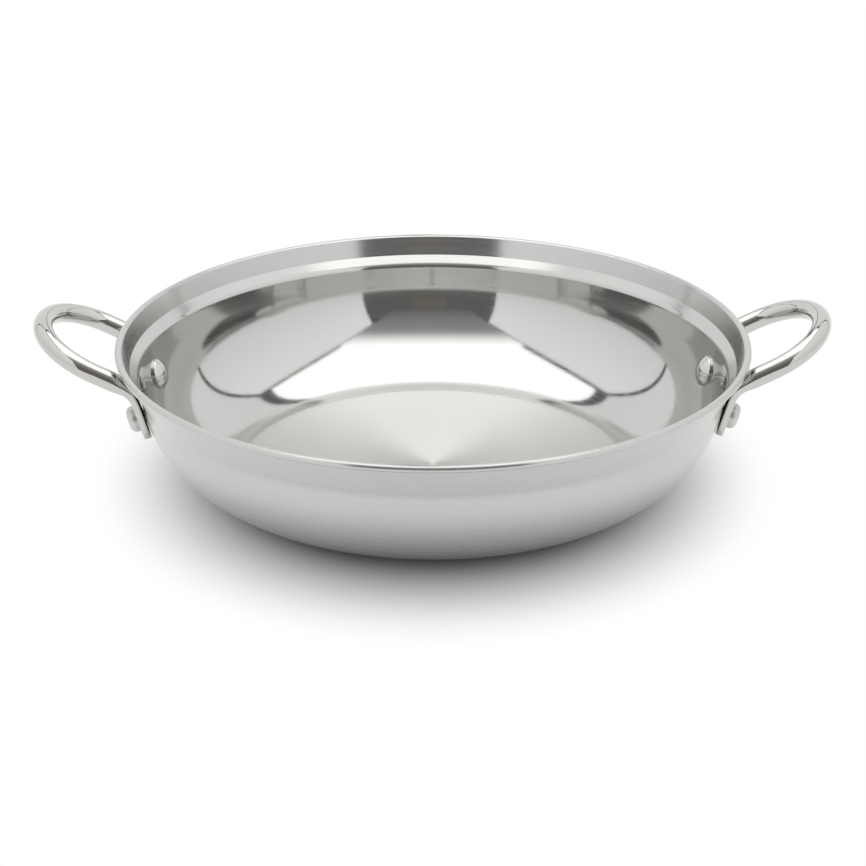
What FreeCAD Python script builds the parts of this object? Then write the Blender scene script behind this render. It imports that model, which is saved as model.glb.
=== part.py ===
"""Shallow two-handled cooking pan in stainless steel.

One spun sheet bowl with a rolled lip and a ledge that a lid rests on, two bar handles whose
flattened ends lie on the wall, and four rivets.  Millimetres, +Z up, origin at the centre of
the flat underside.  The handles lie along +X and -X, and -Y is the front.
"""
import FreeCAD, Part
import math
import os

Vector = FreeCAD.Vector

# ---- driving dimensions: the bowl, measured on its inside ------------------------------------
rim_radius = 150.0            # axis to the outermost edge of the rolled lip
pan_height = 68.0             # underside to the crest of the lip
base_radius = 94.0            # flat floor
sheet = 1.0                   # thickness of the steel
bowl_rise = 9.0               # degrees that the bowl rises where it leaves the flat floor
wall_lean = 9.4               # degrees that the wall leans outwards
straight_wall = 9.0           # least straight wall below the ledge
ledge_run = 4.2               # lid ledge, measured across
ledge_drop = 4.3              # lid ledge, measured down
flare_run = 3.2               # flare above the ledge, measured across
flare_drop = 9.5              # crest of the lip down to the ledge's upper edge
lip_overhang = 3.2            # top of the flare out to the edge of the lip
lip_thickness = 3.0           # the sheet rolled over on itself
lip_bend = 1.2                # corner from the flare onto the lip
flare_bend = 1.0              # from the ledge up into the flare, inside
ledge_bend = 5.0              # from the wall out onto the ledge, inside
lip_root_bend = 0.5           # outside, where the lip meets the flare
shoulder_depth = 19.5         # crest of the lip down to where the outside starts to flare
shoulder_bend = 16.0          # bend there: the outside runs on past the ledge without a step
base_bend = 3.0               # bend round the flat floor
least_edge = 0.001            # arcs that meet closer than this share no straight edge

# ---- driving dimensions: the rivets ----------------------------------------------------------
rivet_depth = 29.4            # crest of the lip down to the rivet centre
shank_diameter = 6.0
shank_clearance = 0.05        # radial, shank to its holes
outer_head_diameter = 12.4    # button outside the tab
outer_head_height = 4.2
outer_head_edge = 3.0         # rounded edge of that button
inner_head_diameter = 14.8    # polished dome inside the pan
inner_head_height = 4.6
inner_head_edge = 1.2         # upright edge of that dome
head_gap = 0.02               # under each head

# ---- driving dimensions: the handles ---------------------------------------------------------
bar_diameter = 9.2            # round bar where the hand holds it
leg_spacing = 63.2            # centre to centre of a handle's two legs
leg_length = 13.8             # straight leg from the root bend to the loop's corner
loop_corner_radius = 29.0     # bend at each corner of the loop
loop_corner_turn = 67.4       # degrees turned at each corner, before the flatter crown
handle_tilt = 26.8            # degrees that the loop rises outwards
root_bend_radius = 8.5        # bend from the wall into the leg
tab_width = 20.0              # flattened end of the bar
tab_thickness = 4.0
tab_foot = 9.2                # rivet centre down to the end of the tab
tab_rise = 17.1               # rivet centre up to the root bend
tab_inset = 5.0               # the bar is flattened towards the inside of the loop
tab_head_room = 2.8           # flat of the tab above the rivet's head
tab_end_radius = 5.0          # rounded corners of the tab
flatten_length = 17.0         # flat tab to round bar
tab_seat_depth = 29.5         # crest of the lip down to where the flat tab touches the wall
tab_gap = 0.1                 # tab to wall, there

# ---- how finely the handle's sections are set ------------------------------------------------
section_points = 32
tab_squareness = 5.0          # superellipse exponent of the tab's section
round_squareness = 2.0        # and of the round bar's
end_steps = 4
tab_steps = 6
bend_steps = 5
leg_steps = 5
corner_steps = 8
crown_steps = 3


# ---- outlines in the XZ plane ----------------------------------------------------------------
def unit(x, z):
    """Unit vector in the XZ plane."""
    length = math.hypot(x, z)
    return (x / length, z / length)


def moved(point, direction, distance):
    """Point carried along a direction in the XZ plane."""
    return (point[0] + direction[0] * distance, point[1] + direction[1] * distance)


def turn_at(before, corner, after):
    """Angle turned, in radians, by a line of straight runs at one of its corners."""
    back = unit(before[0] - corner[0], before[1] - corner[1])
    ahead = unit(after[0] - corner[0], after[1] - corner[1])
    return math.pi - math.acos(back[0] * ahead[0] + back[1] * ahead[1])


def offset_corners(corners, distance):
    """Corners of a line of straight runs, moved to the right of its direction."""
    runs = [unit(b[0] - a[0], b[1] - a[1]) for a, b in zip(corners, corners[1:])]
    result = []
    for index, corner in enumerate(corners):
        before = runs[max(index - 1, 0)]
        after = runs[min(index, len(runs) - 1)]
        bisector = unit(before[1] + after[1], -before[0] - after[0])
        reach = distance / (bisector[0] * after[1] - bisector[1] * after[0])
        result.append(moved(corner, bisector, reach))
    return result


def line(start, end):
    """Straight edge between two points of the XZ plane."""
    return Part.LineSegment(Vector(start[0], 0, start[1]), Vector(end[0], 0, end[1])).toShape()


def arc(start, middle, end):
    """Edge of the circle through three points of the XZ plane."""
    points = [Vector(x, 0, z) for x, z in (start, middle, end)]
    return Part.Arc(*points).toShape()


def rounded_edges(corners, radii):
    """Edges along the corners, with a tangent arc of the given radius at each inner one."""
    edges = []
    start = corners[0]
    for before, corner, after, radius in zip(corners, corners[1:], corners[2:], radii):
        back = unit(before[0] - corner[0], before[1] - corner[1])
        ahead = unit(after[0] - corner[0], after[1] - corner[1])
        half_turn = turn_at(before, corner, after) / 2
        trim = radius * math.tan(half_turn)
        bisector = unit(back[0] + ahead[0], back[1] + ahead[1])
        arc_start = moved(corner, back, trim)
        arc_middle = moved(corner, bisector, radius / math.cos(half_turn) - radius)
        arc_end = moved(corner, ahead, trim)
        if math.dist(start, arc_start) > least_edge:
            edges.append(line(start, arc_start))
        edges.append(arc(arc_start, arc_middle, arc_end))
        start = arc_end
    edges.append(line(start, corners[-1]))
    return edges


def revolved(edges):
    """Solid of revolution about Z of a closed outline."""
    face = Part.Face(Part.Wire(edges))
    return face.revolve(Vector(0, 0, 0), Vector(0, 0, 1), 360)


# ---- the bowl's section ----------------------------------------------------------------------
wall_down = (-math.sin(math.radians(wall_lean)), -math.cos(math.radians(wall_lean)))
floor_up = (math.cos(math.radians(bowl_rise)), math.sin(math.radians(bowl_rise)))

flare_top = (rim_radius - lip_overhang, pan_height)
ledge_top = (flare_top[0] - flare_run, flare_top[1] - flare_drop)
ledge_foot = (ledge_top[0] - ledge_run, ledge_top[1] - ledge_drop)
floor_edge = (base_radius, sheet)

# The wall and the rise beside the floor, carried on as straight lines, meet at the bowl corner.
to_ledge = (ledge_foot[0] - floor_edge[0], ledge_foot[1] - floor_edge[1])
crossing = wall_down[0] * floor_up[1] - wall_down[1] * floor_up[0]
floor_run = (wall_down[0] * to_ledge[1] - wall_down[1] * to_ledge[0]) / crossing
bowl_corner = moved(floor_edge, floor_up, floor_run)
wall_run = math.hypot(ledge_foot[0] - bowl_corner[0], ledge_foot[1] - bowl_corner[1])

# The bowl's curve is the largest arc that the floor and the wall leave room for.
bowl_turn = turn_at(floor_edge, bowl_corner, ledge_foot)
floor_trim = base_bend * math.tan(math.radians(bowl_rise) / 2)
bowl_reach = min(floor_run - floor_trim, wall_run - straight_wall)
bowl_radius = bowl_reach / math.tan(bowl_turn / 2)
wall_foot = moved(bowl_corner, wall_down, -bowl_reach)
bowl_centre = moved(wall_foot, (wall_down[1], -wall_down[0]), bowl_radius)

inner_corners = [(0, sheet), floor_edge, bowl_corner, ledge_foot, ledge_top, flare_top]
outer_corners = offset_corners(inner_corners, sheet)
outer_foot = moved(bowl_centre, (-wall_down[1], wall_down[0]), bowl_radius + sheet)


def outer_wall(height):
    """Radius of the wall's outside at a height, and its lean there in radians."""
    if height > outer_foot[1]:
        lean = math.radians(wall_lean)
        return outer_foot[0] + (height - outer_foot[1]) * math.tan(lean), lean
    lean = math.asin((bowl_centre[1] - height) / (bowl_radius + sheet))
    return bowl_centre[0] + (bowl_radius + sheet) * math.cos(lean), lean


def make_pan_body():
    """Spun sheet: floor, bowl, wall, lid ledge, flare and rolled lip."""
    lip_below = pan_height - lip_thickness
    lip_middle = pan_height - lip_thickness / 2
    lip_start = rim_radius - lip_thickness / 2
    below_flare, flare_end = outer_corners[4:6]
    flare_slope = (flare_end[0] - below_flare[0]) / (flare_end[1] - below_flare[1])
    lip_root = (below_flare[0] + (lip_below - below_flare[1]) * flare_slope, lip_below)
    shoulder_height = pan_height - shoulder_depth
    shoulder = (outer_wall(shoulder_height)[0], shoulder_height)

    outside = outer_corners[:3] + [shoulder, lip_root, (lip_start, lip_below)]
    inside = inner_corners + [(lip_start, pan_height)]
    outside_radii = [base_bend + sheet, bowl_radius + sheet, shoulder_bend, lip_root_bend]
    inside_radii = [base_bend, bowl_radius, ledge_bend, flare_bend, lip_bend]

    edges = rounded_edges(outside, outside_radii)
    edges.append(arc((lip_start, lip_below), (rim_radius, lip_middle), (lip_start, pan_height)))
    edges += reversed(rounded_edges(inside, inside_radii))
    edges.append(line(inner_corners[0], outer_corners[0]))
    body = revolved(edges)
    for side in (1, -1):
        for end in (1, -1):
            body = body.cut(rivet_hole(side, end))
    return body


# ---- where a handle meets the wall -----------------------------------------------------------
seat_height = pan_height - tab_seat_depth
seat_radius, tab_lean = outer_wall(seat_height)
rivet_drop = (rivet_depth - tab_seat_depth) / math.cos(tab_lean)
tab_middle = tab_gap + tab_thickness / 2
corner_radius = (seat_radius + tab_middle * math.cos(tab_lean)
                 + (tab_rise - rivet_drop) * math.sin(tab_lean))
tab_azimuth = math.asin((leg_spacing / 2 - tab_inset) / corner_radius)

up = Vector(0, 0, 1)
radial = Vector(math.cos(tab_azimuth), math.sin(tab_azimuth), 0)
tab_across = up.cross(radial)
tab_up = radial * math.sin(tab_lean) + up * math.cos(tab_lean)
tab_outward = radial * math.cos(tab_lean) - up * math.sin(tab_lean)
rivet_seat = radial * seat_radius + up * seat_height - tab_up * rivet_drop
tab_centre = rivet_seat + tab_outward * tab_middle

tilt = math.radians(handle_tilt)
leg_outward = Vector(math.cos(tilt), 0, math.sin(tilt))
loop_normal = Vector(-math.sin(tilt), 0, math.cos(tilt))


def mirrored(shape, side, end):
    """Shape of the +X, +Y quarter, carried to the quarter that two signs give."""
    if side < 0:
        shape = shape.mirror(Vector(0, 0, 0), Vector(1, 0, 0))
    if end < 0:
        shape = shape.mirror(Vector(0, 0, 0), Vector(0, 1, 0))
    return shape


def rivet_hole(side, end):
    """Drill through the wall and the tab at one rivet."""
    length = 4 * (sheet + tab_thickness)
    start = rivet_seat - tab_outward * (length / 2)
    drill = Part.makeCylinder(shank_diameter / 2 + shank_clearance, length, start, tab_outward)
    return mirrored(drill, side, end)


# ---- the handle's centre line: a list of points, each with the bar's heading there -------------
def straight_stations(start, heading, length, steps):
    """Stations along a straight run, without its first point."""
    return [(start + heading * (length * step / steps), heading) for step in range(1, steps + 1)]


def arc_stations(start, heading, towards, radius, turn, steps):
    """Stations along an arc, without its first point; `towards` points to its centre."""
    centre = start + towards * radius
    stations = []
    for step in range(1, steps + 1):
        angle = turn * step / steps
        spoke = heading * math.sin(angle) - towards * math.cos(angle)
        stations.append((centre + spoke * radius, heading * math.cos(angle) + towards * math.sin(angle)))
    return stations


def root_stations():
    """Stations from the end of the tab, up the wall and through the root bend, along the leg."""
    bend_angle = tab_up.getAngle(leg_outward)
    bend_trim = root_bend_radius * math.tan(bend_angle / 2)
    bend_towards = leg_outward - tab_up * tab_up.dot(leg_outward)
    bend_towards.normalize()
    foot = tab_centre - tab_up * tab_foot
    corner = tab_centre + tab_up * tab_rise

    stations = []
    for step in range(end_steps + 1):
        depth = tab_end_radius * (1 - math.cos(math.pi / 2 * step / end_steps))
        stations.append((foot + tab_up * depth, tab_up))
    tab_run = tab_foot + tab_rise - bend_trim - tab_end_radius
    stations += straight_stations(stations[-1][0], tab_up, tab_run, tab_steps)
    stations += arc_stations(corner - tab_up * bend_trim, tab_up, bend_towards,
                             root_bend_radius, bend_angle, bend_steps)
    stations += straight_stations(corner + leg_outward * bend_trim, leg_outward, leg_length, leg_steps)
    return stations


def loop_stations(leg_end):
    """Stations round one corner of the loop and on to the middle of its crown."""
    turn = math.radians(loop_corner_turn)
    inward = Vector(0, -1, 0)
    stations = arc_stations(leg_end, leg_outward, inward, loop_corner_radius, turn, corner_steps)
    crown_start, heading = stations[-1]
    crown_radius = crown_start.y / math.cos(turn)
    towards = inward * math.cos(turn) - leg_outward * math.sin(turn)
    stations += arc_stations(crown_start, heading, towards, crown_radius, math.pi / 2 - turn, crown_steps)
    return stations


def round_share(distance):
    """0 on the flat tab, 1 on the round bar, at a distance from the end of the tab."""
    flat_length = tab_foot + outer_head_diameter / 2 + tab_head_room
    share = min(max((distance - flat_length) / flatten_length, 0.0), 1.0)
    return share * share * (3 - 2 * share)


def signed_power(value, power):
    """Power of a value that keeps its sign."""
    return math.copysign(abs(value) ** power, value)


def section(centre, heading, distance):
    """Closed curve round the bar: flat on the tab, round beyond it, thickening outwards first."""
    share = round_share(distance)
    growth = (bar_diameter - tab_thickness) / 2
    outer_half = tab_thickness / 2 + growth * share
    wall_half = tab_thickness / 2 + growth * share ** 3
    half_width = (tab_width + (bar_diameter - tab_width) * share) / 2
    if distance < tab_end_radius:
        rise = tab_end_radius - distance
        half_width -= tab_end_radius - math.sqrt(tab_end_radius ** 2 - rise ** 2)
    power = 2 / (tab_squareness + (round_squareness - tab_squareness) * share)

    across = loop_normal.cross(heading)
    if share < 1:
        hint = tab_across * (1 - share) + Vector(0, 1, 0) * share
        across = hint - heading * hint.dot(heading)
    across.normalize()
    wallwards = heading.cross(across)
    middle = centre + wallwards * ((wall_half - outer_half) / 2)
    points = []
    for index in range(section_points):
        angle = 2 * math.pi * index / section_points
        x = signed_power(math.cos(angle), power) * half_width
        y = signed_power(math.sin(angle), power) * (outer_half + wall_half) / 2
        points.append(middle + across * x + wallwards * y)
    curve = Part.BSplineCurve()
    curve.interpolate(Points=points, PeriodicFlag=True)
    return Part.Wire(curve.toShape())


def make_handle(side):
    """One bar bent into a loop, with both ends flattened and drilled."""
    sections = []
    distance = 0.0
    stations = root_stations()
    previous = stations[0][0]
    for point, heading in stations:
        distance += (point - previous).Length
        previous = point
        inset = Vector(0, tab_inset * round_share(distance), 0)
        sections.append(section(point + inset, heading, distance))
    leg_end = previous + Vector(0, tab_inset, 0)
    for point, heading in loop_stations(leg_end):
        sections.append(section(point, heading, math.inf))
    half = Part.makeLoft(sections, True, False)
    handle = mirrored(half.fuse(mirrored(half, 1, -1)), side, 1)
    for end in (1, -1):
        handle = handle.cut(rivet_hole(side, end))
    return handle


# ---- the rivets ------------------------------------------------------------------------------
def make_rivet(side, end, pan_body):
    """Shank through tab and wall, button outside, dome set down on the curved wall inside.

    In a low pan the wall curves across the whole dome and cuts its edge off as scraps, which are
    left out.
    """
    outer_seat = tab_gap + tab_thickness + head_gap
    inner_seat = -sheet - head_gap
    button_radius = outer_head_diameter / 2
    button_top = outer_seat + outer_head_height
    shank_radius = shank_diameter / 2
    dome_edge = inner_head_diameter / 2
    dome_top = inner_seat - inner_head_height
    dome_foot = inner_seat - inner_head_edge
    dome_rise = inner_head_height - inner_head_edge
    dome_radius = (dome_edge ** 2 + dome_rise ** 2) / (2 * dome_rise)
    half_dome = math.asin(dome_edge / dome_radius) / 2
    dome_middle = (dome_radius * math.sin(half_dome), dome_top + dome_radius * (1 - math.cos(half_dome)))

    outline = rounded_edges([(0, button_top), (button_radius, button_top), (button_radius, outer_seat)],
                            [outer_head_edge])
    outline.append(line((button_radius, outer_seat), (shank_radius, outer_seat)))
    outline.append(line((shank_radius, outer_seat), (shank_radius, inner_seat)))
    outline.append(line((shank_radius, inner_seat), (dome_edge, inner_seat)))
    outline.append(line((dome_edge, inner_seat), (dome_edge, dome_foot)))
    outline.append(arc((dome_edge, dome_foot), dome_middle, (0, dome_top)))
    outline.append(line((0, dome_top), (0, button_top)))
    rivet = revolved(outline)
    rivet.Placement = FreeCAD.Placement(rivet_seat, FreeCAD.Rotation(up, tab_outward))
    pieces = mirrored(rivet, side, end).cut(pan_body).Solids
    return max(pieces, key=lambda piece: piece.Volume)


def main():
    """Build every piece, write it to its own file and print its size."""
    os.makedirs("parts", exist_ok=True)
    pan_body = make_pan_body()
    nodes = {"pan_body": pan_body}
    for side_name, side in (("left", -1), ("right", 1)):
        nodes["handle_" + side_name] = make_handle(side)
        for end_name, end in (("front", -1), ("rear", 1)):
            nodes["rivet_" + side_name + "_" + end_name] = make_rivet(side, end, pan_body)
    for name, shape in nodes.items():
        solid = shape.Solids[0]
        print(name, "valid", solid.isValid(), "solids", len(shape.Solids), "volume", round(solid.Volume, 1))
        solid.exportStep("parts/" + name + ".step")
    print("bowl radius", round(bowl_radius, 2), "tab lean", round(math.degrees(tab_lean), 2),
          "tab azimuth", round(math.degrees(tab_azimuth), 2))


if __name__ == "__main__":
    main()
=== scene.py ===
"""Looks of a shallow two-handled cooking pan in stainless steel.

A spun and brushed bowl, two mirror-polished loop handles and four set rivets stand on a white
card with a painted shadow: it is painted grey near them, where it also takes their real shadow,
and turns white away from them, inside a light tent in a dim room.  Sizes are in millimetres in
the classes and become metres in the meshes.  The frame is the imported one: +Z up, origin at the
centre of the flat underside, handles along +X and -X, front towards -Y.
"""
from __future__ import annotations

import logging
import math
from dataclasses import dataclass, field
from enum import Enum
from typing import Sequence

import bpy
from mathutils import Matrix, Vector

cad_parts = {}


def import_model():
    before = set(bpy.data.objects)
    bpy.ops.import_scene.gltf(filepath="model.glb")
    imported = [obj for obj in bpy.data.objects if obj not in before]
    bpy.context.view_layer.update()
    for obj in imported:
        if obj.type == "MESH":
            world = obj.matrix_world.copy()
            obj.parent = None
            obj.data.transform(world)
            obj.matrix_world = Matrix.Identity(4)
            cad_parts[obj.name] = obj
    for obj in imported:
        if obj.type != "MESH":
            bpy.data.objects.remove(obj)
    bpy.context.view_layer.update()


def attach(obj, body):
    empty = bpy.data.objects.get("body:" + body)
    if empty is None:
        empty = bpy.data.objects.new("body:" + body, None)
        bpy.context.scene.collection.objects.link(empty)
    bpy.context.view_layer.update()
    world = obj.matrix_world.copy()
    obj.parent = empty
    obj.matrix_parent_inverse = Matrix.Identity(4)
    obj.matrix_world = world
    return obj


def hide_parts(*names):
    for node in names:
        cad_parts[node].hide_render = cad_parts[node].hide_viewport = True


METRE = 0.001
log = logging.getLogger("pan")

Point = tuple[float, float]
Station = tuple[Vector, Vector]
Colour = tuple[float, float, float, float]


class Side(Enum):
    """Which handle: the sign of its X."""

    LEFT = -1
    RIGHT = 1


class End(Enum):
    """Which end of a handle: the sign of its Y."""

    FRONT = -1
    REAR = 1


# ---- small helpers ---------------------------------------------------------------------------
def linear(hex_colour: str) -> Colour:
    """Turn an sRGB hex colour to linear.

    Args:
        hex_colour: six hex digits after a hash.

    Returns:
        Linear red, green, blue and an alpha of 1.
    """
    channels = [int(hex_colour[place:place + 2], 16) / 255 for place in (1, 3, 5)]
    bright = [c / 12.92 if c <= 0.04045 else ((c + 0.055) / 1.055) ** 2.4 for c in channels]
    return (bright[0], bright[1], bright[2], 1.0)


def add_node(
    tree: bpy.types.NodeTree, kind: str, inputs: dict | None = None, **settings: object
) -> bpy.types.Node:
    """Add a node, set it up and link it.

    Args:
        tree: node tree that the node joins.
        kind: the node's Blender type.
        inputs: values or output sockets for the node's inputs, by name or place.
        settings: properties of the node.

    Returns:
        The new node.
    """
    node = tree.nodes.new(kind)
    for name, value in settings.items():
        setattr(node, name, value)
    for socket, value in (inputs or {}).items():
        if isinstance(value, bpy.types.NodeSocket):
            tree.links.new(value, node.inputs[socket])
        else:
            node.inputs[socket].default_value = value
    return node


def new_material(name: str) -> tuple[bpy.types.Material, bpy.types.NodeTree]:
    """Make an empty material.

    Args:
        name: name of the material.

    Returns:
        The material and its cleared node tree.
    """
    material = bpy.data.materials.new(name)
    material.use_nodes = True
    material.node_tree.nodes.clear()
    return material, material.node_tree


def seen_or_mirrored(tree: bpy.types.NodeTree) -> bpy.types.NodeSocket:
    """Tell the rays that show a surface from those that only light others.

    Args:
        tree: node tree that the test joins.

    Returns:
        A socket that is 1 for what the eye sees, also in metal or through glass, and else 0.
    """
    ray = add_node(tree, "ShaderNodeLightPath")
    mirrored = add_node(tree, "ShaderNodeMath",
                        {0: ray.outputs["Is Glossy Ray"], 1: ray.outputs["Is Transmission Ray"]},
                        operation="MAXIMUM")
    seen = add_node(tree, "ShaderNodeMath",
                    {0: ray.outputs["Is Camera Ray"], 1: mirrored.outputs[0]},
                    operation="MAXIMUM")
    return seen.outputs[0]


def smoothstep(share: float) -> float:
    """Ease a share from 0 to 1, held at both ends."""
    share = min(max(share, 0.0), 1.0)
    return share * share * (3 - 2 * share)


def mesh_object(
    name: str,
    points: Sequence[Vector],
    faces: Sequence[Sequence[int]],
    normals: Sequence[Vector] | None = None,
) -> bpy.types.Object:
    """Make a smooth mesh object from points in millimetres.

    Args:
        name: name of the object and its mesh.
        points: vertices in millimetres, in the part's frame.
        faces: vertex numbers of each face.
        normals: one normal for each vertex, or None to let the faces give them.

    Returns:
        The object, linked to the scene.
    """
    mesh = bpy.data.meshes.new(name)
    mesh.from_pydata([point * METRE for point in points], [], faces)
    mesh.validate()
    mesh.shade_smooth()
    if normals is not None:
        mesh.normals_split_custom_set_from_vertices(normals)
    mesh.update()
    piece = bpy.data.objects.new(name, mesh)
    bpy.context.scene.collection.objects.link(piece)
    return piece


# ---- outlines of turned pieces ---------------------------------------------------------------
@dataclass
class Outline:
    """Closed outline of a turned piece: points (radius, height) with the way each one faces."""

    points: list[Point] = field(default_factory=list)
    facings: list[Point] = field(default_factory=list)

    def add(self, point: Point, facing: Point) -> None:
        """Add one point and the unit direction in which the surface faces there."""
        self.points.append(point)
        self.facings.append(facing)

    def add_run(self, corners: Sequence[Point], radii: Sequence[float], step: float) -> None:
        """Add a line of straight runs whose inner corners are rounded.

        Args:
            corners: corners of the line, walked with the outside on the right.
            radii: radius at each inner corner.
            step: degrees turned between the points of an arc.
        """
        start = unit(corners[0], corners[1])
        self.add(corners[0], (start[1], -start[0]))
        for before, corner, after, radius in zip(corners, corners[1:], corners[2:], radii):
            ahead = unit(before, corner)
            onward = unit(corner, after)
            turn = math.atan2(ahead[0] * onward[1] - ahead[1] * onward[0],
                              ahead[0] * onward[0] + ahead[1] * onward[1])
            trim = radius * abs(math.tan(turn / 2))
            hand = math.copysign(1.0, turn)
            begin = moved(corner, ahead, -trim)
            centre = moved(begin, (-ahead[1], ahead[0]), radius * hand)
            count = max(2, round(abs(math.degrees(turn)) / step))
            for index in range(count + 1):
                angle = turn * index / count
                heading = (ahead[0] * math.cos(angle) - ahead[1] * math.sin(angle),
                           ahead[0] * math.sin(angle) + ahead[1] * math.cos(angle))
                facing = (heading[1], -heading[0])
                self.add(moved(centre, facing, radius * hand), facing)
        last = unit(corners[-2], corners[-1])
        self.add(corners[-1], (last[1], -last[0]))

    def add_arc(self, centre: Point, radius: float, first: float, last: float, count: int) -> None:
        """Add an outward arc.

        Args:
            centre: centre of the arc.
            radius: its radius.
            first: angle of its first point, in degrees above the outward direction.
            last: angle of its last point.
            count: how many steps it has.
        """
        for index in range(count + 1):
            angle = math.radians(first + (last - first) * index / count)
            facing = (math.cos(angle), math.sin(angle))
            self.add(moved(centre, facing, radius), facing)

    def turned(self, name: str, turns: int) -> bpy.types.Object:
        """Turn the outline round Z.

        Args:
            name: name of the piece.
            turns: how many steps go round.

        Returns:
            The piece, with exact normals.
        """
        points: list[Vector] = []
        normals: list[Vector] = []
        rings: list[list[int]] = []
        for (radius, height), (out, rise) in zip(self.points, self.facings):
            steps = 1 if radius < 1e-6 else turns
            rings.append(list(range(len(points), len(points) + steps)))
            for index in range(steps):
                angle = 2 * math.pi * index / turns
                spoke = Vector((math.cos(angle), math.sin(angle), 0))
                points.append(spoke * radius + Vector((0, 0, height)))
                sideways = spoke * (out if steps > 1 else 0)
                normals.append((sideways + Vector((0, 0, rise))).normalized())
        faces: list[list[int]] = []
        for lower, upper in zip(rings, rings[1:]):
            for index in range(turns):
                after = (index + 1) % turns
                corners = [lower[index % len(lower)], lower[after % len(lower)],
                           upper[after % len(upper)], upper[index % len(upper)]]
                faces.append(list(dict.fromkeys(corners)))
        return mesh_object(name, points, faces, normals)


def unit(start: Point, end: Point) -> Point:
    """Unit direction from one point of an outline to another."""
    length = math.dist(start, end)
    return ((end[0] - start[0]) / length, (end[1] - start[1]) / length)


def moved(point: Point, direction: Point, distance: float) -> Point:
    """Point of an outline carried along a direction."""
    return (point[0] + direction[0] * distance, point[1] + direction[1] * distance)


def offset_corners(corners: Sequence[Point], distance: float) -> list[Point]:
    """Move a line of straight runs sideways.

    Args:
        corners: corners of the line.
        distance: how far it moves to the right of its direction.

    Returns:
        The moved corners.
    """
    runs = [unit(before, after) for before, after in zip(corners, corners[1:])]
    result = []
    for index, corner in enumerate(corners):
        before = runs[max(index - 1, 0)]
        after = runs[min(index, len(runs) - 1)]
        across = (before[1] + after[1], -before[0] - after[0])
        length = math.hypot(*across)
        across = (across[0] / length, across[1] / length)
        reach = distance / (across[0] * after[1] - across[1] * after[0])
        result.append(moved(corner, across, reach))
    return result


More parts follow.
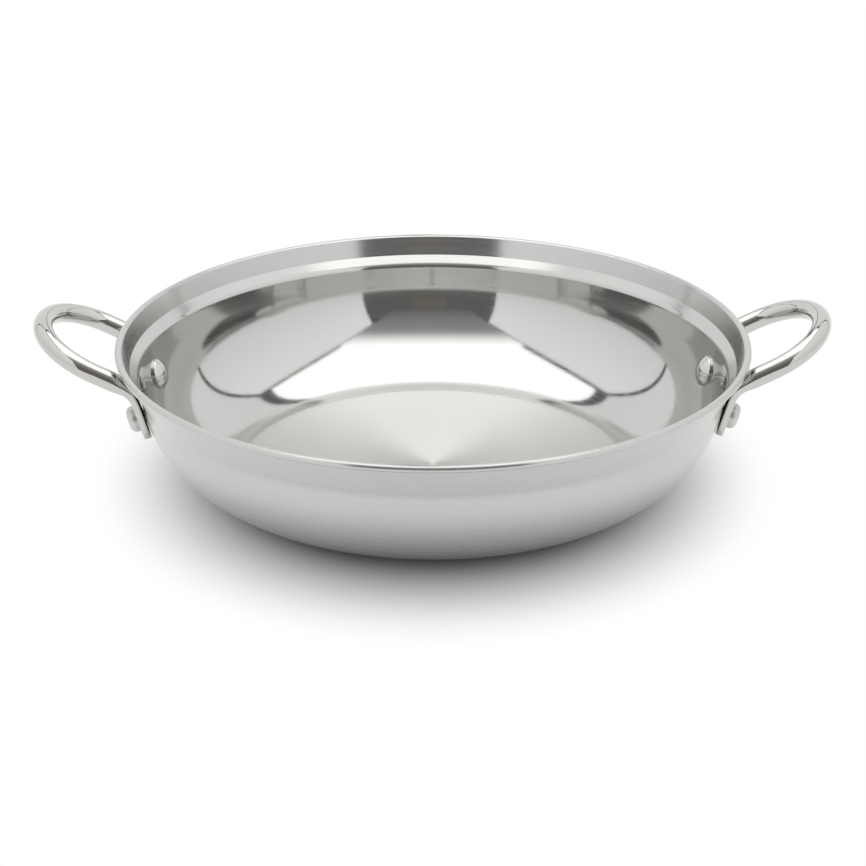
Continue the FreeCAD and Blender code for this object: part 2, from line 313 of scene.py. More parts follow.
# ---- finishes --------------------------------------------------------------------------------
@dataclass(frozen=True)
class BrushedBowlSteel:
    """Stainless steel sheet, spun and brushed round its axis.

    The brush leaves fine rings, so a reflection is drawn out up and down the wall and stays
    crisp round it.  The curved inside is polished nearly to a mirror; the rim and the outside
    are left satin, which softens what they mirror; the flat floor is coarser still, so that it
    shows only a soft fan of light.  Real brush lines are about 0.1 mm apart, too fine to show,
    so the drawn ones are coarser.
    """

    colour: str = "#C9C9C7"
    # Painted light: the flat floor is the same steel, drawn lighter to stand in for the brighter
    # light it shows.
    floor_painted_light_colour: str = "#DDDDDA"
    roughness: float = 0.09
    floor_roughness: float = 0.5
    floor_edge: tuple[float, float] = (91.0, 95.0)
    outside_roughness: float = 0.26
    rim_roughness: float = 0.2
    rim_edge: tuple[float, float] = (52.0, 56.0)
    anisotropy: float = 0.8
    across_the_brush: float = 0.25
    line_spacing: float = 0.9
    line_length: float = 3.0
    roughness_swing: float = 0.03
    line_depth: float = 0.0008
    line_octaves: float = 3.0
    line_octave_share: float = 0.6
    outside_facing: float = 0.2

    def material(self) -> bpy.types.Material:
        """Build the material."""
        material, tree = new_material("stainless_spun_brushed")
        surface = add_node(tree, "ShaderNodeNewGeometry")
        split = add_node(tree, "ShaderNodeSeparateXYZ", {0: surface.outputs["Position"]})
        flat = add_node(tree, "ShaderNodeCombineXYZ", {0: split.outputs[0], 1: split.outputs[1]})
        radius = add_node(tree, "ShaderNodeVectorMath", {0: flat.outputs[0]}, operation="LENGTH")
        spoke = add_node(tree, "ShaderNodeVectorMath", {0: flat.outputs[0]}, operation="NORMALIZE")
        around = add_node(tree, "ShaderNodeSeparateXYZ", {0: spoke.outputs[0]})
        per_line = 1 / (self.line_spacing * METRE)
        out = add_node(tree, "ShaderNodeMath", {0: radius.outputs["Value"], 1: per_line},
                       operation="MULTIPLY")
        up = add_node(tree, "ShaderNodeMath", {0: split.outputs[2], 1: per_line},
                      operation="MULTIPLY")
        along = add_node(tree, "ShaderNodeMath", {0: around.outputs[0], 1: self.line_length},
                         operation="MULTIPLY")
        aside = add_node(tree, "ShaderNodeMath", {0: around.outputs[1], 1: self.line_length},
                         operation="MULTIPLY")
        rings = add_node(tree, "ShaderNodeCombineXYZ",
                         {0: out.outputs[0], 1: up.outputs[0], 2: along.outputs[0]})
        lines = add_node(tree, "ShaderNodeTexNoise",
                         {"Vector": rings.outputs[0], "W": aside.outputs[0], "Scale": 1.0,
                          "Detail": self.line_octaves, "Roughness": self.line_octave_share},
                         noise_dimensions="4D")
        polish = add_node(tree, "ShaderNodeMapRange",
                          {"Value": radius.outputs["Value"],
                           "From Min": self.floor_edge[0] * METRE,
                           "From Max": self.floor_edge[1] * METRE,
                           "To Min": self.floor_roughness, "To Max": self.roughness})
        wall = add_node(tree, "ShaderNodeMapRange",
                        {"Value": radius.outputs["Value"],
                         "From Min": self.floor_edge[0] * METRE,
                         "From Max": self.floor_edge[1] * METRE})
        # Painted light: the flat floor takes the lighter colour, and the wall keeps the steel's
        # own.
        painted_floor_light = add_node(tree, "ShaderNodeMix",
                        {0: wall.outputs[0], 6: linear(self.floor_painted_light_colour),
                         7: linear(self.colour)}, data_type="RGBA")
        rim = add_node(tree, "ShaderNodeMapRange",
                       {"Value": split.outputs[2], "From Min": self.rim_edge[0] * METRE,
                        "From Max": self.rim_edge[1] * METRE})
        outwards = add_node(tree, "ShaderNodeVectorMath",
                            {0: surface.outputs["Normal"], 1: spoke.outputs[0]},
                            operation="DOT_PRODUCT")
        outside = add_node(tree, "ShaderNodeMapRange",
                           {"Value": outwards.outputs["Value"], "From Min": 0.0,
                            "From Max": self.outside_facing})
        inside = add_node(tree, "ShaderNodeMix",
                          {0: rim.outputs[0], 2: polish.outputs[0], 3: self.rim_roughness})
        finish = add_node(tree, "ShaderNodeMix",
                          {0: outside.outputs[0], 2: inside.outputs[0],
                           3: self.outside_roughness})
        depth = add_node(tree, "ShaderNodeMapRange",
                         {"Value": rim.outputs[0], "To Min": self.line_depth * METRE,
                          "To Max": 0.0})
        swing = add_node(tree, "ShaderNodeMapRange",
                         {"Value": lines.outputs["Fac"], "From Min": 0.3, "From Max": 0.7,
                          "To Min": -self.roughness_swing, "To Max": self.roughness_swing})
        rough = add_node(tree, "ShaderNodeMath", {0: finish.outputs[0], 1: swing.outputs[0]},
                         operation="ADD")
        grooves = add_node(tree, "ShaderNodeBump",
                           {"Strength": 1.0, "Distance": depth.outputs[0],
                            "Height": lines.outputs["Fac"]})
        tangent = add_node(tree, "ShaderNodeTangent", direction_type="RADIAL", axis="Z")
        shader = add_node(tree, "ShaderNodeBsdfPrincipled",
                          {"Base Color": painted_floor_light.outputs[2], "Metallic": 1.0,
                           "Roughness": rough.outputs[0], "Anisotropic": self.anisotropy,
                           "Anisotropic Rotation": self.across_the_brush,
                           "Normal": grooves.outputs[0], "Tangent": tangent.outputs[0]})
        add_node(tree, "ShaderNodeOutputMaterial", {"Surface": shader.outputs[0]})
        return material


@dataclass(frozen=True)
class PolishedSteel:
    """Stainless steel polished on a mop or tumbled, with haze that varies from spot to spot.

    Mopped steel mirrors its surroundings crisply; tumbled steel only takes up their light.
    """

    name: str
    colour: str
    roughness: float
    haze: float
    haze_size: float = 4.0

    def material(self) -> bpy.types.Material:
        """Build the material."""
        material, tree = new_material(self.name)
        place = add_node(tree, "ShaderNodeNewGeometry").outputs["Position"]
        mop = add_node(tree, "ShaderNodeTexNoise",
                       {"Vector": place, "Scale": 1 / (self.haze_size * METRE), "Detail": 2.0})
        rough = add_node(tree, "ShaderNodeMapRange",
                         {"Value": mop.outputs["Fac"], "From Min": 0.3, "From Max": 0.7,
                          "To Min": self.roughness, "To Max": self.roughness + self.haze})
        shader = add_node(tree, "ShaderNodeBsdfPrincipled",
                          {"Base Color": linear(self.colour), "Metallic": 1.0,
                           "Roughness": rough.outputs["Result"]})
        add_node(tree, "ShaderNodeOutputMaterial", {"Surface": shader.outputs[0]})
        return material


@dataclass(frozen=True)
class CardWithPaintedShadow:
    """Matt card painted pale grey near the pan as shade, which also takes the pan's real shadow,
    and seen as pure white away from it.
    """

    # Painted shade: the card is white, and this grey near the pan deepens the pan's real shadow.
    colour: str = "#C6C6C6"
    # The painted shadow fades from the grey to white between these two radii.
    shadow_radius: float = 100.0
    clear_radius: float = 178.0
    # Stretches the painted shadow: a little wider at the sides and shorter at the front.
    shadow_shape: tuple[float, float, float] = (1.06, 0.97, 1.0)

    def material(self) -> bpy.types.Material:
        """Build the material."""
        material, tree = new_material("card_with_painted_shadow")
        place = add_node(tree, "ShaderNodeNewGeometry").outputs["Position"]
        shape = add_node(tree, "ShaderNodeVectorMath", {0: place, 1: self.shadow_shape},
                         operation="MULTIPLY")
        radius = add_node(tree, "ShaderNodeVectorMath", {0: shape.outputs[0]}, operation="LENGTH")
        # Painted shadow: the grey, lit card near the pan fades to white, as seen, away from it.
        away = add_node(tree, "ShaderNodeMapRange",
                        {"Value": radius.outputs["Value"],
                         "From Min": self.shadow_radius * METRE,
                         "From Max": self.clear_radius * METRE}, interpolation_type="SMOOTHSTEP")
        share = add_node(tree, "ShaderNodeMath", {0: away.outputs[0], 1: seen_or_mirrored(tree)},
                         operation="MULTIPLY")
        card = add_node(tree, "ShaderNodeBsdfDiffuse", {"Color": linear(self.colour)})
        white = add_node(tree, "ShaderNodeEmission", {"Strength": 1.0})
        mix = add_node(tree, "ShaderNodeMixShader",
                       {0: share.outputs[0], 1: card.outputs[0], 2: white.outputs[0]})
        add_node(tree, "ShaderNodeOutputMaterial", {"Surface": mix.outputs[0]})
        return material


# ---- the bowl --------------------------------------------------------------------------------
@dataclass
class Bowl:
    """Spun sheet bowl: flat floor, curved wall, lid ledge, flare and rolled lip."""

    rim_radius: float = 150.0
    pan_height: float = 68.0
    base_radius: float = 94.0
    sheet: float = 1.0
    bowl_rise: float = 9.0
    wall_lean: float = 9.4
    straight_wall: float = 9.0
    ledge_run: float = 4.2
    ledge_drop: float = 4.3
    flare_run: float = 3.2
    flare_drop: float = 9.5
    lip_overhang: float = 3.2
    lip_thickness: float = 3.0
    lip_bend: float = 1.2
    flare_bend: float = 1.0
    ledge_bend: float = 5.0
    lip_root_bend: float = 0.5
    shoulder_depth: float = 19.5
    shoulder_bend: float = 16.0
    base_bend: float = 3.0
    turns: int = 360
    arc_step: float = 1.5
    lip_steps: int = 24
    finish: BrushedBowlSteel = field(default_factory=BrushedBowlSteel)

    def __post_init__(self) -> None:
        """Work out the section's corners and the bowl's curve."""
        lean = math.radians(self.wall_lean)
        rise = math.radians(self.bowl_rise)
        wall_down = (-math.sin(lean), -math.cos(lean))
        floor_up = (math.cos(rise), math.sin(rise))
        flare_top = (self.rim_radius - self.lip_overhang, self.pan_height)
        ledge_top = (flare_top[0] - self.flare_run, flare_top[1] - self.flare_drop)
        ledge_foot = (ledge_top[0] - self.ledge_run, ledge_top[1] - self.ledge_drop)
        floor_edge = (self.base_radius, self.sheet)
        to_ledge = (ledge_foot[0] - floor_edge[0], ledge_foot[1] - floor_edge[1])
        crossing = wall_down[0] * floor_up[1] - wall_down[1] * floor_up[0]
        floor_run = (wall_down[0] * to_ledge[1] - wall_down[1] * to_ledge[0]) / crossing
        bowl_corner = moved(floor_edge, floor_up, floor_run)
        reach = min(floor_run - self.base_bend * math.tan(rise / 2),
                    math.dist(ledge_foot, bowl_corner) - self.straight_wall)
        self.bowl_radius = reach / math.tan((math.pi / 2 - lean - rise) / 2)
        wall_foot = moved(bowl_corner, wall_down, -reach)
        self.bowl_centre = moved(wall_foot, (wall_down[1], -wall_down[0]), self.bowl_radius)
        self.inner = [(0.0, self.sheet), floor_edge, bowl_corner, ledge_foot, ledge_top, flare_top]
        self.outer = offset_corners(self.inner, self.sheet)

    def outer_wall(self, height: float) -> tuple[float, float]:
        """Find the outside of the wall at a height.

        Args:
            height: height above the underside.

        Returns:
            The wall's radius there and its lean in radians.
        """
        lean = math.radians(self.wall_lean)
        radius = self.bowl_radius + self.sheet
        foot = moved(self.bowl_centre, (math.cos(lean), -math.sin(lean)), radius)
        if height > foot[1]:
            return foot[0] + (height - foot[1]) * math.tan(lean), lean
        lean = math.asin((self.bowl_centre[1] - height) / radius)
        return self.bowl_centre[0] + radius * math.cos(lean), lean

    def outline(self) -> Outline:
        """Build the section: out along the underside, round the lip and back inside."""
        lip_below = self.pan_height - self.lip_thickness
        lip_start = self.rim_radius - self.lip_thickness / 2
        below_flare, flare_end = self.outer[4:6]
        slope = (flare_end[0] - below_flare[0]) / (flare_end[1] - below_flare[1])
        lip_root = (below_flare[0] + (lip_below - below_flare[1]) * slope, lip_below)
        shoulder_height = self.pan_height - self.shoulder_depth
        shoulder = (self.outer_wall(shoulder_height)[0], shoulder_height)
        outside = [*self.outer[:3], shoulder, lip_root, (lip_start, lip_below)]
        inside = [(lip_start, self.pan_height), *reversed(self.inner)]
        section = Outline()
        section.add_run(outside, [self.base_bend + self.sheet, self.bowl_radius + self.sheet,
                                  self.shoulder_bend, self.lip_root_bend], self.arc_step)
        section.add_arc((lip_start, self.pan_height - self.lip_thickness / 2),
                        self.lip_thickness / 2, -90, 90, self.lip_steps)
        section.add_run(inside, [self.lip_bend, self.flare_bend, self.ledge_bend,
                                 self.bowl_radius, self.base_bend], self.arc_step)
        return section

    def build(self) -> bpy.types.Object:
        """Build the bowl and dress it."""
        piece = self.outline().turned("bowl_spun", self.turns)
        piece.data.materials.append(self.finish.material())
        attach(piece, "root")
        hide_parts("pan_body")
        return piece


# ---- the handles -----------------------------------------------------------------------------
@dataclass
class LoopHandles:
    """Two bars bent into loops, with both ends of each flattened against the wall."""

    bowl: Bowl
    rivet_depth: float = 29.4
    outer_head_diameter: float = 12.4
    bar_diameter: float = 9.2
    leg_spacing: float = 63.2
    leg_length: float = 13.8
    corner_radius: float = 29.0
    corner_turn: float = 67.4
    tilt: float = 26.8
    root_radius: float = 8.5
    tab_width: float = 20.0
    tab_thickness: float = 4.0
    tab_foot: float = 9.2
    tab_rise: float = 17.1
    tab_inset: float = 5.0
    tab_head_room: float = 2.8
    tab_end_radius: float = 5.0
    flatten_length: float = 17.0
    tab_seat_depth: float = 29.5
    tab_gap: float = 0.1
    tab_squareness: float = 5.0
    round_squareness: float = 2.0
    edge_break: float = 0.5
    break_steps: tuple[float, ...] = (1.0, 0.45, 0.12)
    ring_points: int = 72
    station_gap: float = 0.7
    finish: PolishedSteel = field(default_factory=lambda: PolishedSteel(
        "stainless_bar_mirror_polished", "#CAC8C4", 0.04, 0.04))

    def __post_init__(self) -> None:
        """Work out where the +X, +Y tab lies on the wall and how the loop leaves it."""
        height = self.bowl.pan_height - self.tab_seat_depth
        seat_radius, lean = self.bowl.outer_wall(height)
        drop = (self.rivet_depth - self.tab_seat_depth) / math.cos(lean)
        middle = self.tab_gap + self.tab_thickness / 2
        reach = seat_radius + middle * math.cos(lean) + (self.tab_rise - drop) * math.sin(lean)
        azimuth = math.asin((self.leg_spacing / 2 - self.tab_inset) / reach)
        up = Vector((0, 0, 1))
        radial = Vector((math.cos(azimuth), math.sin(azimuth), 0))
        self.tab_across = up.cross(radial)
        self.tab_up = radial * math.sin(lean) + up * math.cos(lean)
        self.tab_out = radial * math.cos(lean) - up * math.sin(lean)
        self.rivet_seat = radial * seat_radius + up * height - self.tab_up * drop
        self.tab_centre = self.rivet_seat + self.tab_out * middle
        tilt = math.radians(self.tilt)
        self.leg_out = Vector((math.cos(tilt), 0, math.sin(tilt)))
        self.loop_normal = Vector((-math.sin(tilt), 0, math.cos(tilt)))

    def straight(self, start: Vector, heading: Vector, length: float) -> list[Station]:
        """Give stations along a straight run, without its first point."""
        count = max(1, round(length / self.station_gap))
        ways = [length * step / count for step in range(1, count + 1)]
        return [(start + heading * way, heading) for way in ways]

    def arc(
        self, start: Vector, heading: Vector, towards: Vector, radius: float, turn: float
    ) -> list[Station]:
        """Give stations along an arc, without its first point.

        Args:
            start: first point of the arc.
            heading: direction of the bar there.
            towards: direction from there to the arc's centre.
            radius: radius of the arc.
            turn: angle turned, in radians.

        Returns:
            Points with the bar's heading at each.
        """
        centre = start + towards * radius
        count = max(3, round(radius * turn / self.station_gap))
        stations = []
        for step in range(1, count + 1):
            angle = turn * step / count
            spoke = heading * math.sin(angle) - towards * math.cos(angle)
            stations.append((centre + spoke * radius,
                             heading * math.cos(angle) + towards * math.sin(angle)))
        return stations

    def root(self) -> list[Station]:
        """Give stations from the end of the tab, up the wall and along the leg."""
        bend = self.tab_up.angle(self.leg_out)
        trim = self.root_radius * math.tan(bend / 2)
        towards = (self.leg_out - self.tab_up * self.tab_up.dot(self.leg_out)).normalized()
        foot = self.tab_centre - self.tab_up * self.tab_foot
        corner = self.tab_centre + self.tab_up * self.tab_rise
        stations = [(foot, self.tab_up)]
        stations += self.straight(foot, self.tab_up, self.tab_foot + self.tab_rise - trim)
        stations += self.arc(corner - self.tab_up * trim, self.tab_up, towards,
                             self.root_radius, bend)
        stations += self.straight(corner + self.leg_out * trim, self.leg_out, self.leg_length)
        return stations

    def loop(self, start: Vector) -> list[Station]:
        """Give stations round one corner of the loop and on to the middle of its crown."""
        turn = math.radians(self.corner_turn)
        inward = Vector((0, -1, 0))
        stations = self.arc(start, self.leg_out, inward, self.corner_radius, turn)
        crown, heading = stations[-1]
        towards = inward * math.cos(turn) - self.leg_out * math.sin(turn)
        stations += self.arc(crown, heading, towards, crown.y / math.cos(turn), math.pi / 2 - turn)
        return stations

    def roundness(self, distance: float) -> float:
        """Share of the change from flat tab to round bar, at a way from the end of the tab."""
        flat = self.tab_foot + self.outer_head_diameter / 2 + self.tab_head_room
        return smoothstep((distance - flat) / self.flatten_length)

    def ring(self, centre: Vector, heading: Vector, distance: float, shrink: float) -> list[Vector]:
        """Give the points round the bar at one station.

        Args:
            centre: the bar's middle.
            heading: direction of the bar.
            distance: way from the end of the tab.
            shrink: how much smaller the section is than the full one.

        Returns:
            Points round the section.
        """
        share = self.roundness(distance)
        growth = (self.bar_diameter - self.tab_thickness) / 2
        outer_half = self.tab_thickness / 2 + growth * share - shrink
        wall_half = self.tab_thickness / 2 + growth * share ** 3 - shrink
        half_width = (self.tab_width + (self.bar_diameter - self.tab_width) * share) / 2 - shrink
        if distance < self.tab_end_radius:
            rise = self.tab_end_radius - distance
            half_width -= self.tab_end_radius - math.sqrt(self.tab_end_radius ** 2 - rise ** 2)
        power = 2 / (self.tab_squareness + (self.round_squareness - self.tab_squareness) * share)
        across = self.loop_normal.cross(heading)
        if share < 1:
            hint = self.tab_across * (1 - share) + Vector((0, 1, 0)) * share
            across = hint - heading * hint.dot(heading)
        across.normalize()
        wallwards = heading.cross(across)
        middle = centre + wallwards * ((wall_half - outer_half) / 2)
        points = []
        for index in range(self.ring_points):
            angle = 2 * math.pi * index / self.ring_points
            x = math.copysign(abs(math.cos(angle)) ** power, math.cos(angle)) * half_width
            y = math.copysign(abs(math.sin(angle)) ** power, math.sin(angle))
            points.append(middle + across * x + wallwards * (y * (outer_half + wall_half) / 2))
        return points

    def half_rings(self) -> list[list[Vector]]:
        """Give every ring of the +X, +Y half, from the tab's end to the middle of the crown."""
        rings = []
        distance = 0.0
        stations = self.root()
        previous = stations[0][0]
        for break_step in self.break_steps:
            angle = math.pi / 2 * break_step
            inset = self.edge_break * (1 - math.cos(angle))
            ahead = self.edge_break * (1 - math.sin(angle))
            rings.append(self.ring(previous + self.tab_up * ahead, self.tab_up, ahead, inset))
        for point, heading in stations[1:]:
            distance += (point - previous).length
            previous = point
            if distance > self.edge_break:
                shift = Vector((0, self.tab_inset * self.roundness(distance), 0))
                rings.append(self.ring(point + shift, heading, distance, 0.0))
        for point, heading in self.loop(previous + Vector((0, self.tab_inset, 0))):
            rings.append(self.ring(point, heading, math.inf, 0.0))
        return rings

    def build(self, side: Side) -> bpy.types.Object:
        """Build one handle and dress it.

        Args:
            side: which handle.

        Returns:
            The handle.
        """
        count = self.ring_points
        rings = self.half_rings()
        rings += [[Vector((p.x, -p.y, p.z)) for p in ring] for ring in reversed(rings[:-1])]
        points = [Vector((p.x * side.value, p.y, p.z)) for ring in rings for p in ring]
        faces: list[list[int]] = []
        for step in range(len(rings) - 1):
            for index in range(count):
                after = (index + 1) % count
                low, high = step * count, (step + 1) * count
                faces.append([low + index, low + after, high + after, high + index])
        faces.append(list(reversed(range(count))))
        faces.append([(len(rings) - 1) * count + index for index in range(count)])
        if side is Side.LEFT:
            faces = [list(reversed(face)) for face in faces]
        word = side.name.lower()
        piece = mesh_object("loop_handle_" + word, points, faces)
        piece.data.materials.append(self.finish.material())
        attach(piece, "root")
        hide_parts("handle_" + word)
        return piece


# ---- the rivets ------------------------------------------------------------------------------
@dataclass
class Rivets:
    """Four set rivets: a dull button outside the tab, a polished dome inside the pan."""

    handles: LoopHandles
    shank_diameter: float = 6.0
    outer_head_height: float = 4.2
    outer_head_edge: float = 3.0
    inner_head_diameter: float = 14.8
    inner_head_height: float = 4.6
    inner_head_edge: float = 1.2
    head_gap: float = 0.02
    turns: int = 96
    dome_steps: int = 24
    arc_step: float = 6.0
    button_finish: PolishedSteel = field(default_factory=lambda: PolishedSteel(
        "stainless_rivet_tumbled", "#CFCFCD", 0.38, 0.08, 0.8))
    dome_finish: PolishedSteel = field(default_factory=lambda: PolishedSteel(
        "stainless_rivet_polished", "#CCCBC9", 0.08, 0.05, 2.0))

    def outline(self) -> Outline:
        """Build the section, from the top of the inner dome to the top of the outer button."""
        button = self.handles.outer_head_diameter / 2
        dome = self.inner_head_diameter / 2
        shank = self.shank_diameter / 2
        outer_seat = self.handles.tab_gap + self.handles.tab_thickness + self.head_gap
        inner_seat = -self.handles.bowl.sheet - self.head_gap
        button_top = outer_seat + self.outer_head_height
        rise = self.inner_head_height - self.inner_head_edge
        dome_radius = (dome ** 2 + rise ** 2) / (2 * rise)
        dome_centre = (0.0, inner_seat - self.inner_head_height + dome_radius)
        rim_angle = -90 + math.degrees(math.asin(dome / dome_radius))
        section = Outline()
        corners = [(dome, inner_seat - self.inner_head_edge), (dome, inner_seat),
                   (shank, inner_seat), (shank, outer_seat), (button, outer_seat)]
        section.add_arc(dome_centre, dome_radius, -90, rim_angle, self.dome_steps)
        for start, end in zip(corners, corners[1:]):
            section.add_run([start, end], [], self.arc_step)
        section.add_run([(button, outer_seat), (button, button_top), (0.0, button_top)],
                        [self.outer_head_edge], self.arc_step)
        return section

    def build(self, side: Side, end: End) -> bpy.types.Object:
        """Build one rivet and dress it.

        Args:
            side: which handle it holds.
            end: which end of the handle.

        Returns:
            The rivet.
        """
        word = side.name.lower() + "_" + end.name.lower()
        piece = self.outline().turned("set_rivet_" + word, self.turns)
        piece.data.materials.append(self.button_finish.material())
        piece.data.materials.append(self.dome_finish.material())
        for face in piece.data.polygons:
            face.material_index = int(face.center.z < 0)
        seat, out = self.handles.rivet_seat, self.handles.tab_out
        piece.location = Vector((seat.x * side.value, seat.y * end.value, seat.z)) * METRE
        facing = Vector((out.x * side.value, out.y * end.value, out.z))
        piece.rotation_mode = "QUATERNION"
        piece.rotation_quaternion = Vector((0, 0, 1)).rotation_difference(facing)
        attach(piece, "root")
        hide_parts("rivet_" + word)
        return piece


# ---- the studio ------------------------------------------------------------------------------
@dataclass(frozen=True)
class Panel:
    """One sheet of the light tent or the room.

    It glows evenly, with one brightness, or from corner to corner, with one for each.
    """

    name: str
    corners: tuple[tuple[float, float, float], ...]
    brightness: tuple[float, ...]
    colour: str = "#FFFFFF"

    def build(self) -> bpy.types.Object:
        """Build the sheet, which is never seen itself and casts no shadow."""
        count = len(self.corners)
        sheet = mesh_object(self.name, [Vector(corner) for corner in self.corners],
                            [list(range(count))])
        levels = self.brightness * (count // len(self.brightness))
        glow = sheet.data.color_attributes.new(name="glow", type="FLOAT_COLOR", domain="POINT")
        for corner, level in zip(glow.data, levels):
            corner.color = (level, level, level, 1.0)
        material, tree = new_material(self.name + "_light")
        strength = add_node(tree, "ShaderNodeAttribute", attribute_name="glow")
        light = add_node(tree, "ShaderNodeEmission",
                         {"Color": linear(self.colour), "Strength": strength.outputs["Fac"]})
        add_node(tree, "ShaderNodeOutputMaterial", {"Surface": light.outputs[0]})
        sheet.data.materials.append(material)
        sheet.visible_camera = False
        sheet.visible_shadow = False
        return sheet


def standing(
    start: Point, end: Point, low: float, high: float
) -> tuple[tuple[float, float, float], ...]:
    """Give the corners of an upright sheet.

    Args:
        start: X and Y of one upright edge.
        end: X and Y of the other.
        low: height of the foot.
        high: height of the top.

    Returns:
        The four corners: the foot first, then the top.
    """
    return ((*start, low), (*end, low), (*end, high), (*start, high))


@dataclass
class Studio:
    """Light tent in a dim room, floor, backdrop and camera."""

    wall_brightness: float = 1.15
    low_brightness: float = 0.85
    rear_brightness: float = 1.0
    top_brightness: float = 1.8
    apron_brightness: float = 0.4
    card_brightness: float = 0.16
    card_middle_brightness: float = 0.21
    room_brightness: float = 0.12
    tent_height: float = 700.0
    top_outline: tuple[Point, ...] = (
        (-315.0, -110.0), (325.0, -110.0), (325.0, 460.0),
        (75.0, 730.0), (-75.0, 730.0), (-315.0, 475.0))
    apron_half_width: float = 340.0
    apron_edges: tuple[float, ...] = (-110.0, -230.0, -350.0, -1140.0)
    sheet_top: float = 690.0
    sheet_foot: float = 2.0
    side_distance: Point = (345.0, 885.0)
    side_rear_edge: Point = (515.0, 416.0)
    left_front_edge: Point = (-580.0, -1690.0)
    right_front_edge: Point = (-545.0, -1590.0)
    rear_top_edge: tuple[Point, Point] = ((330.0, 550.0), (20.0, 810.0))
    rear_foot_edge: tuple[Point, Point] = ((885.0, 438.0), (4.0, 1160.0))
    card_distance: float = 1700.0
    card_half_width: float = 900.0
    card_height: float = 1500.0
    card_middle_distance: float = 1690.0
    card_middle_sides: Point = (-200.0, 250.0)
    card_middle_heights: Point = (560.0, 900.0)
    card_middle_colour: str = "#FFF1E2"
    room_half_width: float = 2600.0
    room_height: float = 2400.0
    mirror_bounces: int = 24
    floor_size: float = 8000.0
    floor_drop: float = 0.1
    # Floor with a painted shadow round the pan.
    floor: CardWithPaintedShadow = field(default_factory=CardWithPaintedShadow)
    lens: float = 91.87
    sensor: float = 36.0
    nearest_seen: float = 50.0
    farthest_seen: float = 50000.0
    camera_at: tuple[float, float, float] = (-14.2, -977.8, 449.8)
    camera_aim: tuple[float, float, float] = (0.01325, 0.9145, -0.4044)

    def tent_top(self) -> list[Panel]:
        """List the tent's lit top and the bands of its apron, each duller towards the front."""
        top = tuple((x, y, self.tent_height) for x, y in self.top_outline)
        sheets = [Panel("tent_top", top, (self.top_brightness,))]
        levels = (self.top_brightness, self.wall_brightness, self.apron_brightness,
                  self.card_brightness)
        edges = list(zip(self.apron_edges, levels))
        for (near, bright), (far, dull) in zip(edges, edges[1:]):
            right = self.apron_half_width
            band = tuple((x, y, self.tent_height)
                         for x, y in ((-right, near), (-right, far), (right, far), (right, near)))
            sheets.append(Panel(f"tent_apron_{-near:.0f}", band, (bright, dull, dull, bright)))
        return sheets

    def tent_walls(self, side: Side) -> list[Panel]:
        """List the side and the rear sheet of one half of the tent.

        Args:
            side: which half.

        Returns:
            A side sheet, duller at its foot, and an evenly lit rear sheet.
        """
        word = side.name.lower()
        front = self.left_front_edge if side is Side.LEFT else self.right_front_edge
        top_x, foot_x = (side.value * distance for distance in self.side_distance)
        wall = ((top_x, front[0], self.sheet_top), (top_x, self.side_rear_edge[0], self.sheet_top),
                (foot_x, self.side_rear_edge[1], self.sheet_foot),
                (foot_x, front[1], self.sheet_foot))
        rear = tuple((side.value * x, y, self.sheet_top) for x, y in self.rear_top_edge)
        rear += tuple((side.value * x, y, self.sheet_foot) for x, y in self.rear_foot_edge[::-1])
        levels = (self.wall_brightness, self.wall_brightness,
                  self.low_brightness, self.low_brightness)
        return [Panel("tent_side_" + word, wall, levels),
                Panel("tent_rear_" + word, rear, (self.rear_brightness,))]

    def front_cards(self) -> list[Panel]:
        """List the dim card behind the camera and its lighter, warmer middle."""
        card = standing((-self.card_half_width, -self.card_distance),
                        (self.card_half_width, -self.card_distance),
                        self.sheet_foot, self.card_height)
        left, right = self.card_middle_sides
        middle = standing((left, -self.card_middle_distance), (right, -self.card_middle_distance),
                          *self.card_middle_heights)
        return [Panel("front_card", card, (self.card_brightness,)),
                Panel("front_card_middle", middle, (self.card_middle_brightness,),
                      self.card_middle_colour)]

    def room(self) -> list[Panel]:
        """List the dim walls and ceiling of the room, which close the tent's openings."""
        half = self.room_half_width
        ring = ((-half, -half), (half, -half), (half, half), (-half, half))
        ceiling = tuple((x, y, self.room_height) for x, y in ring)
        sheets = [Panel(f"room_wall_{index}", standing(start, end, 0.0, self.room_height),
                        (self.room_brightness,))
                  for index, (start, end) in enumerate(zip(ring, ring[1:] + ring[:1]))]
        sheets.append(Panel("room_ceiling", ceiling, (self.room_brightness,)))
        return sheets

    def build_floor(self) -> bpy.types.Object:
        """Build the floor just under the pan."""
        half = self.floor_size / 2
        corners = [Vector((x * half, y * half, -self.floor_drop))
                   for x, y in ((-1, -1), (1, -1), (1, 1), (-1, 1))]
        floor = mesh_object("floor", corners, [[0, 1, 2, 3]])
        floor.data.materials.append(self.floor.material())
        return floor

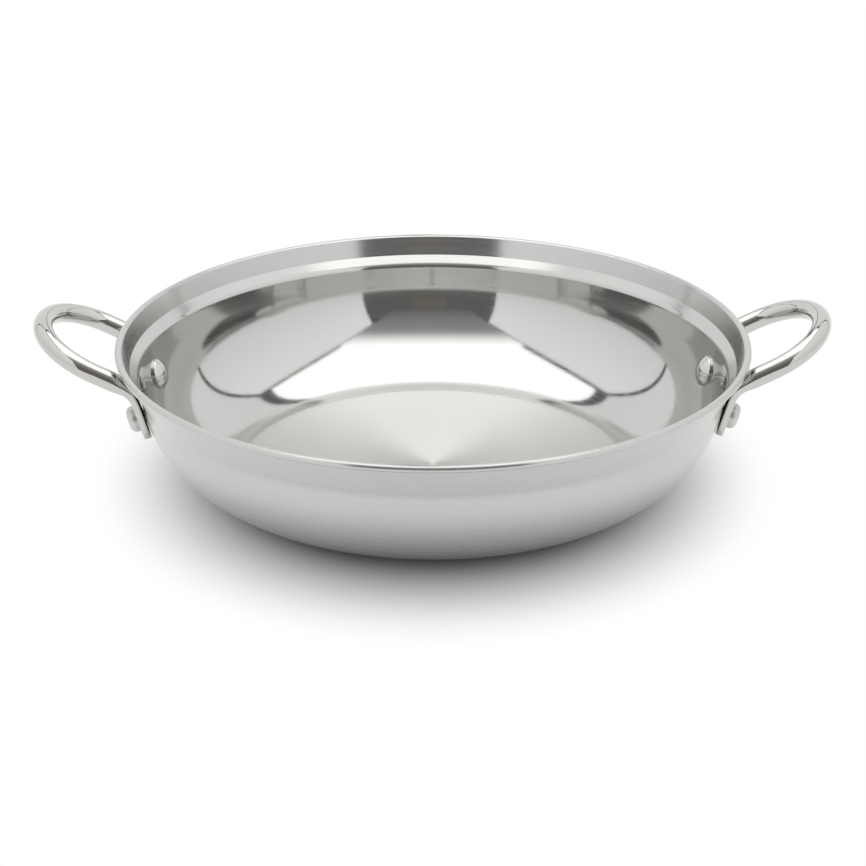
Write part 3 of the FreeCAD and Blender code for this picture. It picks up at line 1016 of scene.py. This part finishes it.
    def build_surroundings(self) -> None:
        """Set the world: a backdrop seen as white, and otherwise as dim as the room."""
        world = bpy.data.worlds.new("studio")
        bpy.context.scene.world = world
        world.use_nodes = True
        tree = world.node_tree
        tree.nodes.clear()
        strength = add_node(tree, "ShaderNodeMapRange",
                            {"Value": seen_or_mirrored(tree), "To Min": self.room_brightness,
                             "To Max": 1.0})
        sky = add_node(tree, "ShaderNodeBackground",
                       {"Color": linear("#FFFFFF"), "Strength": strength.outputs[0]})
        add_node(tree, "ShaderNodeOutputWorld", {"Surface": sky.outputs[0]})

    def build_camera(self) -> bpy.types.Object:
        """Build the camera and make it the scene's."""
        data = bpy.data.cameras.new("camera")
        data.lens = self.lens
        data.sensor_width = self.sensor
        data.clip_start = self.nearest_seen * METRE
        data.clip_end = self.farthest_seen * METRE
        camera = bpy.data.objects.new("camera", data)
        camera.location = Vector(self.camera_at) * METRE
        camera.rotation_mode = "QUATERNION"
        camera.rotation_quaternion = Vector(self.camera_aim).to_track_quat("-Z", "Y")
        bpy.context.scene.collection.objects.link(camera)
        bpy.context.scene.camera = camera
        return camera

    def build(self) -> None:
        """Build everything round the pan, and let light bounce often between bright faces."""
        bpy.context.scene.cycles.max_bounces = self.mirror_bounces
        bpy.context.scene.cycles.glossy_bounces = self.mirror_bounces
        tent = self.tent_top() + self.tent_walls(Side.LEFT) + self.tent_walls(Side.RIGHT)
        for panel in tent + self.front_cards() + self.room():
            log.info("built %s", panel.build().name)
        log.info("built %s", self.build_floor().name)
        self.build_surroundings()
        log.info("built %s", self.build_camera().name)


# ---- putting it together ---------------------------------------------------------------------
def main() -> None:
    """Load the frame, build every piece on it and build the studio round it."""
    logging.basicConfig(level=logging.INFO, format="%(name)s: %(message)s")
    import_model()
    bpy.context.scene.view_settings.view_transform = "Standard"
    bowl = Bowl()
    log.info("built %s", bowl.build().name)
    handles = LoopHandles(bowl)
    for side in Side:
        log.info("built %s", handles.build(side).name)
    rivets = Rivets(handles)
    for side in Side:
        for end in End:
            log.info("built %s", rivets.build(side, end).name)
    Studio().build()


if __name__ == "__main__":
    main()
